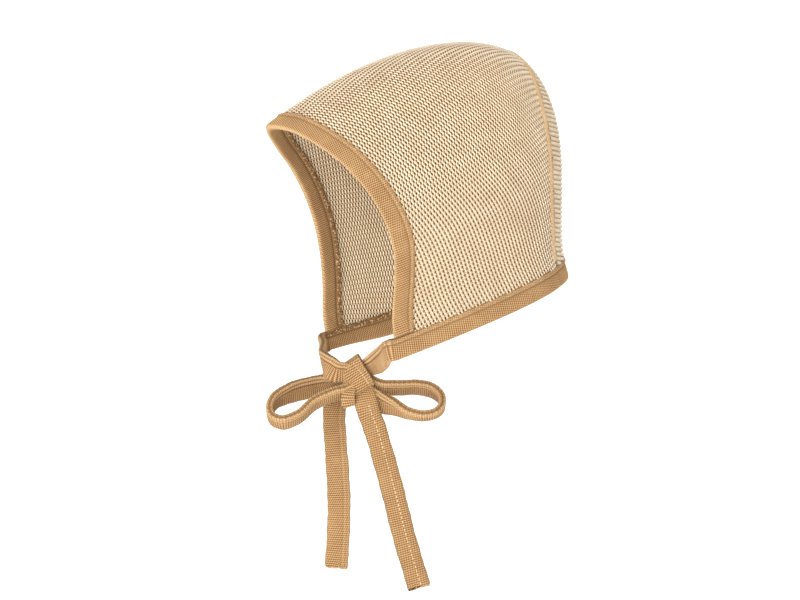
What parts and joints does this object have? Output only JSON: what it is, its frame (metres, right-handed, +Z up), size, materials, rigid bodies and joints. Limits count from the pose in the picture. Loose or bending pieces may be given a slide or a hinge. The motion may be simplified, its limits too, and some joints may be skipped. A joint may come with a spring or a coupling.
{
  "type": "baby bonnet",
  "caption": "Knitted baby bonnet in worn shape, with an arched back panel, ribbed bands round face and neck, and ties knotted in a bow.",
  "frame": {"origin": "inside of the crown on the mid-plane, where the bonnet sits on the head", "axes": "-Y out of the face opening, +X towards the wearer's left, +Z up"},
  "size_m": [0.1074, 0.1564, 0.2702],
  "materials": {
    "two_tone_knit": "soft wool, cream stitches on a tan ground",
    "caramel_rib": "soft caramel wool, finely ribbed"
  },
  "bodies": {
    "root": {"main_panel": "two_tone_knit", "back_panel": "two_tone_knit", "face_band": "caramel_rib", "neck_band": "caramel_rib", "left_tie": "caramel_rib", "right_tie": "caramel_rib", "bow_knot": "caramel_rib", "front_loop": "caramel_rib", "back_loop": "caramel_rib", "front_tail": "caramel_rib", "back_tail": "caramel_rib"}
  },
  "joints": []
}
